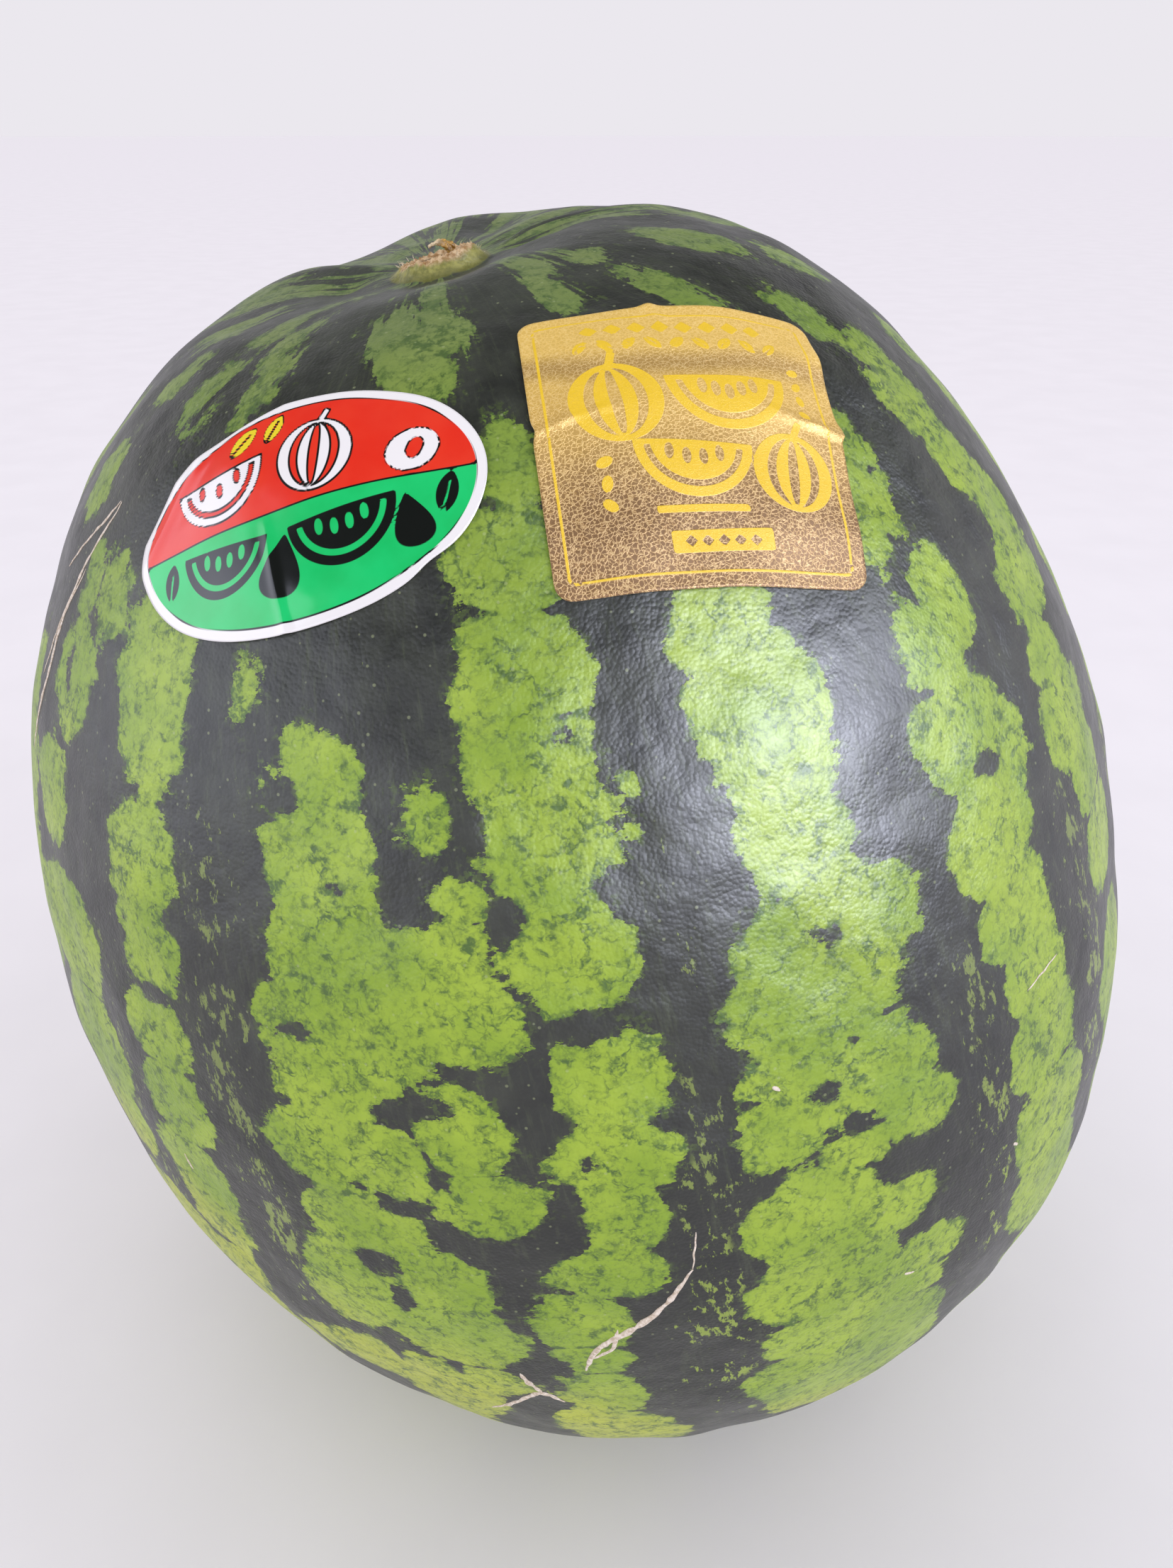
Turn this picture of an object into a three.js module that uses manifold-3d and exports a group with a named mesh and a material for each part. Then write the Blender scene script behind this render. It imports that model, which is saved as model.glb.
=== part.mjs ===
// A whole watermelon that stands on its blossom end, with the dried stub of its stem and two labels
// stuck on its shoulder. Millimetres, +Z up. The origin is the middle of the small flat spot that the
// fruit rests on, and -Y is the side that the labels face.
//
// The fruit has axes of its own: its z axis runs from the blossom end to the stem end, and the whole
// fruit leans, so that this axis isn't upright. A direction from the fruit's middle is given by its
// polar angle from the stem end and by its azimuth, which is 0 towards -Y and grows towards +X.
import * as THREE from "three";
import { mergeVertices } from "three/addons/utils/BufferGeometryUtils.js";
import Module from "manifold-3d";

// The fruit's body. The shares are parts of its radius.
const fruitWidth = 250;
const fruitLength = 299;
const squareness = 2.12; // 2 is an ellipsoid, and more is boxier
const bellyShare = 0.026; // fills the blossom half and flattens the blossom end
const endShare = 0.008; // draws both ends out a little
const lobeShare = 0.018; // the three carpels show as a faint rounded triangle in cross-section
const backShoulderRise = 10; // the stem end's far shoulder stands higher than the near one
const shoulderSpread = 45; // degrees from the stem end over which that rise fades

// How it stands.
const leanLeft = 11.8; // degrees that the stem end leans towards -X
const leanForward = 4; // degrees that it leans towards -Y
const flatSpotDepth = 3; // how far its weight has pressed the rind flat

// The stem cavity, and the callus that is left where the stem was.
const cavityDepth = 13;
const cavitySpread = 16.4; // degrees from the stem end over which the cavity fades
const callusBaseRadius = 9.5;
const callusTopRadius = 7.2;
const callusHeight = 2.6;
const callusPitRadius = 4.8;
const callusPitWall = 1.7; // how much wider the pit's mouth is than its floor
const callusPitDepth = 1.8;

// The blossom end's small round scar.
const blossomScarRadius = 6;
const blossomScarDepth = 1.2;

// The stem's dried stub, which stands in the callus's pit.
const stubLength = 3.8;
const stubFootRadius = 1.4;
const stubNeckRadius = 1.1;
const stubHeadRadius = 2.3;
const stubFlatness = 0.7; // its depth as a share of its width
const stubHook = 0.8; // how far its head bends over towards -X

// The labels. Each one's middle stands a distance from the fruit's own axis, and its turn is
// anticlockwise, seen from outside.
const ovalLabel = { width: 65, height: 41, fromAxis: 71.2, azimuth: -17.7, turn: 13 };
const squareLabel = { width: 51.5, height: 53.5, fromAxis: 75.3, azimuth: 33.4, turn: -25 };
const squareLabelCornerRadius = 3;
const labelThickness = 0.3;
const seatGap = 0.3; // between the fruit and each piece that sits on it

// How fine the surfaces are.
const meridians = 60;
const ringStep = 4; // degrees
const labelSpokes = 48;
const labelRings = 6;

const wasm = await Module();
wasm.setup();

const radians = THREE.MathUtils.degToRad;
const degrees = THREE.MathUtils.radToDeg;
const fade = (angle, spread) => Math.exp(-((angle / spread) ** 2));

// The unit vector, in the fruit's axes, at a polar angle and an azimuth in degrees.
function direction(polar, azimuth) {
  const around = Math.sin(radians(polar));
  const turn = radians(azimuth);
  return new THREE.Vector3(around * Math.sin(turn), -around * Math.cos(turn), Math.cos(radians(polar)));
}

// How far the plain body reaches along the unit vector d, before the callus and the blossom scar.
function bodyRadius(d) {
  const across = Math.hypot(d.x, d.y) / (fruitWidth / 2);
  const along = Math.abs(d.z) / (fruitLength / 2);
  const egg = (across ** squareness + along ** squareness) ** (-1 / squareness);
  const belly = (bellyShare * d.z * (5 * d.z ** 2 - 3)) / 2;
  const ends = (endShare * (35 * d.z ** 4 - 30 * d.z ** 2 + 3)) / 8;
  const lobes = -lobeShare * d.x * (d.x ** 2 - 3 * d.y ** 2);
  const angle = degrees(Math.acos(THREE.MathUtils.clamp(d.z, -1, 1)));
  const shoulder = backShoulderRise * d.y * fade(angle, shoulderSpread);
  return egg * (1 + belly + ends + lobes) + shoulder - cavityDepth * fade(angle, cavitySpread);
}

const pitFloorRadius = callusPitRadius - callusPitWall;
const stemFloor = bodyRadius(direction(0, 0));
const blossomFloor = bodyRadius(direction(180, 0));
const stemAngle = (radius) => degrees(Math.atan(radius / stemFloor));
const blossomAngle = (radius) => 180 - degrees(Math.atan(radius / blossomFloor));

// The corners of the callus's profile: distance from the stem's axis, and height over the cavity.
const callusProfile = [
  [0, callusHeight - callusPitDepth],
  [pitFloorRadius, callusHeight - callusPitDepth],
  [callusPitRadius - callusPitWall / 2, callusHeight - callusPitDepth * 0.6],
  [callusPitRadius, callusHeight],
  [callusTopRadius, callusHeight],
  [(callusTopRadius + callusBaseRadius) / 2, callusHeight * 0.6],
  [callusBaseRadius, 0],
];

// The blossom scar's profile, from its middle outwards: a shallow dish.
const blossomProfile = [
  [0, -blossomScarDepth],
  [blossomScarRadius * 0.6, -blossomScarDepth * 0.8],
  [blossomScarRadius, 0],
];

// The height at a distance from the axis, on the straight lines between a profile's corners.
function profileHeight(profile, distance) {
  const next = profile.findIndex(([radius]) => radius >= distance);
  if (next === -1) return 0;
  if (next === 0) return profile[0][1];
  const [r0, h0] = profile[next - 1];
  const [r1, h1] = profile[next];
  return h0 + ((h1 - h0) * (distance - r0)) / (r1 - r0);
}

function fruitRadius(d) {
  const plain = bodyRadius(d);
  const distance = plain * Math.hypot(d.x, d.y);
  return plain + profileHeight(d.z > 0 ? callusProfile : blossomProfile, distance);
}

// The point of the plain body's surface along d, and the surface's outward normal there.
const bodyPoint = (d) => d.clone().multiplyScalar(bodyRadius(d));

function bodyNormal(d) {
  const side = new THREE.Vector3(-d.y, d.x, 0).normalize().multiplyScalar(0.01);
  const rise = new THREE.Vector3().crossVectors(d, side);
  const along = bodyPoint(d.clone().add(side).normalize()).sub(bodyPoint(d.clone().sub(side).normalize()));
  const up = bodyPoint(d.clone().add(rise).normalize()).sub(bodyPoint(d.clone().sub(rise).normalize()));
  return along.cross(up).normalize();
}

// The direction, in the stem half, whose surface point stands that far from the fruit's own axis.
function directionAt(fromAxis, azimuth) {
  let [inner, outer] = [0, 90];
  while (outer - inner > 1e-6) {
    const polar = (inner + outer) / 2;
    const reach = bodyRadius(direction(polar, azimuth)) * Math.sin(radians(polar));
    if (reach < fromAxis) inner = polar;
    else outer = polar;
  }
  return direction(inner, azimuth);
}

// A closed body of revolution about z, from [distance from the axis, height] corners. LatheGeometry
// turns its profile about y, and wants it from the bottom up for faces that point outwards.
function turned(profile, segments) {
  const corners = profile.map(([radius, height]) => new THREE.Vector2(radius, height));
  return new THREE.LatheGeometry(corners, segments).rotateX(Math.PI / 2);
}

// Moves each of a geometry's vertices to where place(vertex) puts it.
function reshape(geometry, place) {
  const position = geometry.getAttribute("position");
  const vertex = new THREE.Vector3();
  for (let i = 0; i < position.count; i++) {
    const moved = place(vertex.fromBufferAttribute(position, i));
    position.setXYZ(i, moved.x, moved.y, moved.z);
  }
  geometry.computeVertexNormals();
  return geometry;
}

// The fruit as grown: a unit ball whose rings follow the callus, the body and the blossom scar, with
// every vertex pushed out to the fruit's surface.
function fruitGeometry() {
  const first = stemAngle(callusBaseRadius);
  const last = blossomAngle(blossomScarRadius);
  const bodyRings = Math.ceil((last - first) / ringStep);
  const angles = [
    ...callusProfile.map(([radius]) => stemAngle(radius)),
    ...Array.from({ length: bodyRings - 1 }, (_, i) => first + ((last - first) * (i + 1)) / bodyRings),
    ...blossomProfile.map(([radius]) => blossomAngle(radius)).reverse(),
  ];
  const ring = (angle) => [Math.sin(radians(angle)), Math.cos(radians(angle))];
  const profile = angles.reverse().map(ring);
  profile[0][0] = 0;
  profile[profile.length - 1][0] = 0;
  return reshape(turned(profile, meridians), (v) => {
    const d = v.clone().normalize();
    return d.multiplyScalar(fruitRadius(d));
  });
}

// A label's outline: how far it reaches from its middle at an angle.
const ovalReach = ({ width, height }) => (angle) =>
  1 / Math.hypot(Math.cos(angle) / (width / 2), Math.sin(angle) / (height / 2));

function squareReach({ width, height }) {
  const r = squareLabelCornerRadius;
  return (angle) => {
    const [c, s] = [Math.abs(Math.cos(angle)), Math.abs(Math.sin(angle))];
    const straight = Math.min(width / 2 / c, height / 2 / s);
    const [x, y] = [width / 2 - r, height / 2 - r];
    if (straight * c <= x || straight * s <= y) return straight;
    const middle = x * c + y * s;
    return middle + Math.sqrt(Math.max(0, r ** 2 - (x ** 2 + y ** 2 - middle ** 2)));
  };
}

// A thin sheet with the given outline, bent over the fruit at its place with an even gap under it.
function labelGeometry({ fromAxis, azimuth, turn }, reach) {
  const centre = bodyPoint(directionAt(fromAxis, azimuth));
  const normal = bodyNormal(directionAt(fromAxis, azimuth));
  const right = direction(90, azimuth + 90).projectOnPlane(normal).normalize();
  right.applyAxisAngle(normal, radians(turn));
  const up = new THREE.Vector3().crossVectors(normal, right);
  const shares = Array.from({ length: labelRings + 1 }, (_, i) => i / labelRings);
  const under = shares.map((share) => [share, seatGap]);
  const over = shares.map((share) => [share, seatGap + labelThickness]).reverse();
  return reshape(turned([...under, ...over], labelSpokes), (v) => {
    const angle = Math.atan2(v.y, v.x);
    const far = reach(angle) * Math.hypot(v.x, v.y);
    const d = centre.clone().addScaledVector(right, far * Math.cos(angle));
    d.addScaledVector(up, far * Math.sin(angle)).normalize();
    return bodyPoint(d).addScaledVector(bodyNormal(d), v.z);
  });
}

// The dried stub: a narrow neck and a wider head, bent over towards -X. Its foot stands on the pit's
// floor, on the +X side.
function stubGeometry() {
  const foot = stemFloor + callusHeight - callusPitDepth + seatGap;
  const offset = pitFloorRadius - stubFootRadius - seatGap;
  const profile = [
    [0, 0],
    [stubFootRadius, 0],
    [stubNeckRadius, stubLength * 0.35],
    [stubNeckRadius * 1.4, stubLength * 0.6],
    [stubHeadRadius, stubLength * 0.82],
    [stubHeadRadius * 0.85, stubLength],
    [0, stubLength],
  ];
  return reshape(turned(profile, 16), (v) => {
    const bend = stubHook * (v.z / stubLength) ** 2;
    return v.clone().set(v.x + offset - bend, v.y * stubFlatness, v.z + foot);
  });
}

// Conversions between three.js geometry and manifold-3d solids.
function solidOf(geometry) {
  const plain = new THREE.BufferGeometry();
  plain.setAttribute("position", geometry.getAttribute("position"));
  plain.setIndex(geometry.getIndex());
  const merged = mergeVertices(plain, 1e-3);
  return new wasm.Manifold(
    new wasm.Mesh({
      numProp: 3,
      vertProperties: new Float32Array(merged.getAttribute("position").array),
      triVerts: new Uint32Array(merged.getIndex().array),
    }),
  );
}

function geometryOf(solid) {
  const mesh = solid.getMesh();
  const geometry = new THREE.BufferGeometry();
  geometry.setAttribute("position", new THREE.BufferAttribute(mesh.vertProperties, 3));
  geometry.setIndex(new THREE.BufferAttribute(mesh.triVerts, 1));
  geometry.computeVertexNormals();
  return geometry;
}

// The lowest point of the leaning fruit, found on a one-degree grid over its blossom half.
function lowestPoint(lean) {
  const lowest = new THREE.Vector3(0, 0, Infinity);
  for (let polar = 90; polar <= 180; polar++)
    for (let azimuth = 0; azimuth < 360; azimuth++) {
      const point = bodyPoint(direction(polar, azimuth)).applyMatrix4(lean);
      if (point.z < lowest.z) lowest.copy(point);
    }
  return lowest;
}

// What presses the rind flat: everything under the origin's plane.
function cutFlat(geometry) {
  const size = 2 * fruitLength;
  const ground = new THREE.BoxGeometry(size, size, size).translate(0, 0, -size / 2);
  return geometryOf(solidOf(geometry).subtract(solidOf(ground)));
}

const lean = new THREE.Matrix4()
  .makeRotationX(radians(leanForward))
  .multiply(new THREE.Matrix4().makeRotationY(radians(-leanLeft)));
const lowest = lowestPoint(lean);
const stand = new THREE.Matrix4().makeTranslation(-lowest.x, -lowest.y, -lowest.z - flatSpotDepth);
const place = stand.multiply(lean);

const materials = {
  rind: new THREE.MeshStandardMaterial({ color: 0x3f5a2c, roughness: 0.42, metalness: 0 }),
  driedStem: new THREE.MeshStandardMaterial({ color: 0xb08a3c, roughness: 0.85, metalness: 0 }),
  vinyl: new THREE.MeshStandardMaterial({ color: 0xe8432a, roughness: 0.25, metalness: 0 }),
  foil: new THREE.MeshStandardMaterial({ color: 0xa8854a, roughness: 0.4, metalness: 0.6 }),
};

function piece(name, geometry, material) {
  const mesh = new THREE.Mesh(geometry, material);
  mesh.name = name;
  return mesh;
}

const group = new THREE.Group();
group.add(
  piece("fruit", cutFlat(fruitGeometry().applyMatrix4(place)), materials.rind),
  piece("stem_stub", stubGeometry().applyMatrix4(place), materials.driedStem),
  piece("oval_label", labelGeometry(ovalLabel, ovalReach(ovalLabel)).applyMatrix4(place), materials.vinyl),
  piece(
    "square_label",
    labelGeometry(squareLabel, squareReach(squareLabel)).applyMatrix4(place),
    materials.foil,
  ),
);

export default group;
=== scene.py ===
"""A striped watermelon with its dry stem scar and two stickers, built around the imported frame.

Shapes are worked out in millimetres in the fruit's own axes (stem up), as the CAD source does, and go to
metres only when a mesh is made. Directions are given as azimuth (0 at the front, growing to the right) and
polar angle (0 at the stem, 180 at the blossom end), both in degrees.
"""
import math

import bpy
import numpy as np
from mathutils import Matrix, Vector


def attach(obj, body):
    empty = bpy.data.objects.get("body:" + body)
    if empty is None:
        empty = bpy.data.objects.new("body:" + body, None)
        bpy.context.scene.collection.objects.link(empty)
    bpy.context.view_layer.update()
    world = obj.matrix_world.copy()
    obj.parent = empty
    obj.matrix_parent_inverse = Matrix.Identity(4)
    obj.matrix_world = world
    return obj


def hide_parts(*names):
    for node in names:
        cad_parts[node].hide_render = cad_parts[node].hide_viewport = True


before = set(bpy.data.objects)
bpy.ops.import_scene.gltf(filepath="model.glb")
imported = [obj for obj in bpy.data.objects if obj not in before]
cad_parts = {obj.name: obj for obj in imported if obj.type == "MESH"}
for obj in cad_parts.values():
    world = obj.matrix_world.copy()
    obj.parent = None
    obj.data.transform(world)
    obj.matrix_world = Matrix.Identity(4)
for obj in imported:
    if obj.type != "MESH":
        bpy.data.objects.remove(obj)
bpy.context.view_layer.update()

MM = 0.001

# ---- the fruit's shape, as in the CAD source

FRUIT_WIDTH = 250
FRUIT_LENGTH = 299
SQUARENESS = 2.12
BELLY_SHARE = 0.026
END_SHARE = 0.008
LOBE_SHARE = 0.018
BACK_SHOULDER_RISE = 10
SHOULDER_SPREAD = 45
CAVITY_DEPTH = 13
CAVITY_SPREAD = 16.4
LEAN_LEFT = 11.8
LEAN_FORWARD = 4
FLAT_SPOT_DEPTH = 3

CALLUS_RADIUS = 9.5
CALLUS_TOP_RADIUS = 7.2
CALLUS_HEIGHT = 2.6
PIT_RADIUS = 4.8
PIT_FLOOR_RADIUS = 3.1
PIT_DEPTH = 1.8
BLOSSOM_SCAR_DEPTH = 1.2


def unit(vectors):
    return vectors / np.linalg.norm(vectors, axis=-1, keepdims=True)


def direction(polar, azimuth):
    polar, azimuth = np.broadcast_arrays(np.radians(polar), np.radians(azimuth))
    around = np.sin(polar)
    return np.stack([around * np.sin(azimuth), -around * np.cos(azimuth), np.cos(polar)], -1)


def angles(d):
    """Polar angle and azimuth of unit vectors, in degrees."""
    polar = np.degrees(np.arccos(np.clip(d[..., 2], -1, 1)))
    return polar, np.degrees(np.arctan2(d[..., 0], -d[..., 1]))


def hump(value, middle, spread):
    """1 where the value is at the middle, falling smoothly to 0 on both sides."""
    return np.exp(-(((value - middle) / spread) ** 2))


def turn_between(first, second):
    """The turn from one azimuth to another, from -180 to 180."""
    return (second - first + 180) % 360 - 180


def body_radius(d):
    x, y, z = d[..., 0], d[..., 1], d[..., 2]
    across = np.hypot(x, y) / (FRUIT_WIDTH / 2)
    along = np.abs(z) / (FRUIT_LENGTH / 2)
    egg = (across**SQUARENESS + along**SQUARENESS) ** (-1 / SQUARENESS)
    belly = BELLY_SHARE * z * (5 * z**2 - 3) / 2
    ends = END_SHARE * (35 * z**4 - 30 * z**2 + 3) / 8
    lobes = -LOBE_SHARE * x * (x**2 - 3 * y**2)
    polar, _ = angles(d)
    shoulder = BACK_SHOULDER_RISE * y * hump(polar, 0, SHOULDER_SPREAD)
    cavity = CAVITY_DEPTH * hump(polar, 0, CAVITY_SPREAD)
    return egg * (1 + belly + ends + lobes) + shoulder - cavity


def body_point(d):
    return d * body_radius(d)[..., None]


def body_normal(d):
    side = 0.01 * unit(np.stack([-d[..., 1], d[..., 0], 0 * d[..., 0]], -1))
    down = np.cross(d, side)
    across = body_point(unit(d + side)) - body_point(unit(d - side))
    along = body_point(unit(d + down)) - body_point(unit(d - down))
    return unit(np.cross(across, along))


def lean_matrix():
    left, forward = math.radians(-LEAN_LEFT), math.radians(LEAN_FORWARD)
    turn_left = [[math.cos(left), 0, math.sin(left)], [0, 1, 0], [-math.sin(left), 0, math.cos(left)]]
    tip = [[1, 0, 0], [0, math.cos(forward), -math.sin(forward)], [0, math.sin(forward), math.cos(forward)]]
    return np.array(tip) @ np.array(turn_left)


LEAN = lean_matrix()


def seat():
    """What moves the leaned fruit so that its lowest point is at the origin, less the flat spot's depth."""
    grid = direction(np.arange(90, 181)[:, None], np.arange(0, 360)[None])
    leaned = body_point(grid).reshape(-1, 3) @ LEAN.T
    lowest = leaned[leaned[:, 2].argmin()]
    return np.array([-lowest[0], -lowest[1], -lowest[2] - FLAT_SPOT_DEPTH])


SEAT = seat()


def place(points):
    """From the fruit's own axes to the part's frame."""
    return points @ LEAN.T + SEAT


def waves(points, length, seed, count=40):
    """A smooth random field, mostly within -1 to 1, whose bumps are about `length` mm apart."""
    random = np.random.default_rng(seed)
    heading = unit(random.normal(size=(count, 3)))
    pace = 2 * np.pi / (length * random.uniform(0.7, 1.4, count))
    start = random.uniform(0, 2 * np.pi, count)
    total = np.zeros(points.shape[:-1])
    for h, p, s in zip(heading, pace, start):
        total += np.sin(points @ (h * p) + s)
    return total / math.sqrt(2 * count)


# ---- meshes


def disc_faces(rings, sides):
    """Faces of rings around one middle point, which comes first."""
    faces = []
    for i in range(sides):
        j = (i + 1) % sides
        faces.append((0, 1 + i, 1 + j))
        for r in range(rings - 1):
            a, b = 1 + r * sides, 1 + (r + 1) * sides
            faces.append((a + i, b + i, b + j, a + j))
    return faces


def disc_rows(values):
    """A grid of rings as one list, with the middle point only once."""
    return np.concatenate([values[0, :1], values[1:].reshape((-1,) + values.shape[2:])])


def make_mesh(name, points, faces, attributes=None, uv=None):
    """A smooth mesh from points in mm; attributes are one number or one vector for each point."""
    mesh = bpy.data.meshes.new(name)
    mesh.from_pydata((points * MM).tolist(), [], faces)
    for key, values in (attributes or {}).items():
        kind = "FLOAT_VECTOR" if values.ndim == 2 else "FLOAT"
        made = mesh.attributes.new(key, kind, "POINT")
        made.data.foreach_set("vector" if values.ndim == 2 else "value", values.astype(np.float32).ravel())
    if uv is not None:
        layer = mesh.uv_layers.new(name="OFBake")
        layer.data.foreach_set("uv", uv.astype(np.float32).ravel())
    mesh.shade_smooth()
    made = bpy.data.objects.new(name, mesh)
    bpy.context.scene.collection.objects.link(made)
    return made


# ---- shader nodes


def paint(code):
    """A web colour as scene-linear RGBA."""
    parts = [int(code[i : i + 2], 16) / 255 for i in (1, 3, 5)]
    linear = [c / 12.92 if c <= 0.04045 else ((c + 0.055) / 1.055) ** 2.4 for c in parts]
    return (*linear, 1)


class Graph:
    """A material whose nodes are written as calls that give their outputs. Web colours may stand as text."""

    def __init__(self, name):
        self.material = bpy.data.materials.new(name)
        self.material.use_nodes = True
        self.tree = self.material.node_tree
        self.shader = self.tree.nodes["Principled BSDF"]

    def put(self, socket, value):
        if isinstance(value, bpy.types.NodeSocket):
            self.tree.links.new(value, socket)
        else:
            socket.default_value = paint(value) if isinstance(value, str) else value

    def node(self, kind, inputs, **settings):
        made = self.tree.nodes.new("ShaderNode" + kind)
        for key, value in settings.items():
            setattr(made, key, value)
        for key, value in inputs.items():
            self.put(made.inputs[key], value)
        return made

    def finish(self, **inputs):
        """Sets the shader's inputs; an underscore in a name stands for a space."""
        for key, value in inputs.items():
            self.put(self.shader.inputs[key.replace("_", " ")], value)
        return self.material

    def math(self, operation, a, b=0.0):
        return self.node("Math", {0: a, 1: b}, operation=operation).outputs[0]

    def add(self, first, *rest):
        total = first
        for value in rest:
            total = self.math("ADD", total, value)
        return total

    def times(self, first, *rest):
        total = first
        for value in rest:
            total = self.math("MULTIPLY", total, value)
        return total

    def between(self, value, low, high):
        """0 at low, 1 at high, smooth between them."""
        made = self.node("MapRange", {"Value": value, "From Min": low, "From Max": high})
        made.interpolation_type = "SMOOTHSTEP"
        return made.outputs[0]

    def mix(self, factor, a, b):
        return self.node("Mix", {0: factor, 6: a, 7: b}, data_type="RGBA").outputs[2]

    def stored(self, name, output="Fac"):
        return self.node("Attribute", {}, attribute_name=name).outputs[output]

    def place(self):
        """Where the point is, in mm."""
        spot = self.node("TexCoord", {}).outputs["Object"]
        return self.node("VectorMath", {0: spot, "Scale": 1 / MM}, operation="SCALE").outputs[0]

    def parts(self, vector):
        return self.node("SeparateXYZ", {0: vector}).outputs

    def size(self, value):
        """The value without its sign."""
        return self.math("ABSOLUTE", value)

    def stretch(self, vector, factors):
        return self.node("VectorMath", {0: vector, 1: factors}, operation="MULTIPLY").outputs[0]

    def noise(self, vector, size, detail=2.0, rough=0.5):
        """Noise, mostly within -1 to 1, with bumps about `size` mm apart."""
        inputs = {"Vector": vector, "Scale": 1 / size, "Detail": detail, "Roughness": rough}
        raw = self.node("TexNoise", inputs).outputs[0]
        return self.times(self.math("SUBTRACT", raw, 0.5), 4.0)

    def waver(self, strength, *noise):
        """Noise, mostly within -strength to strength."""
        return self.times(self.noise(*noise), strength)

    def cells(self, vector, size, feature="F1"):
        """Distance from the middle of the nearest cell, or to the cell's edge, in parts of a cell."""
        made = self.node("TexVoronoi", {"Vector": vector, "Scale": 1 / size}, feature=feature)
        return made.outputs["Distance"]

    def warp(self, vector, size, amount):
        """The vector, pushed about by noise by up to `amount` mm."""
        inputs = {"Vector": vector, "Scale": 1 / size, "Detail": 2.0}
        push = self.node("TexNoise", inputs).outputs["Color"]
        centred = self.node("VectorMath", {0: push, 1: (0.5, 0.5, 0.5)}, operation="SUBTRACT").outputs[0]
        scaled = self.node("VectorMath", {0: centred, "Scale": 4 * amount}, operation="SCALE").outputs[0]
        return self.node("VectorMath", {0: vector, 1: scaled}, operation="ADD").outputs[0]

    def bump(self, height):
        """Bump whose height is in mm."""
        return self.node("Bump", {"Height": height, "Distance": MM, "Strength": 1.0}).outputs[0]


# ---- the stripes

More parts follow.
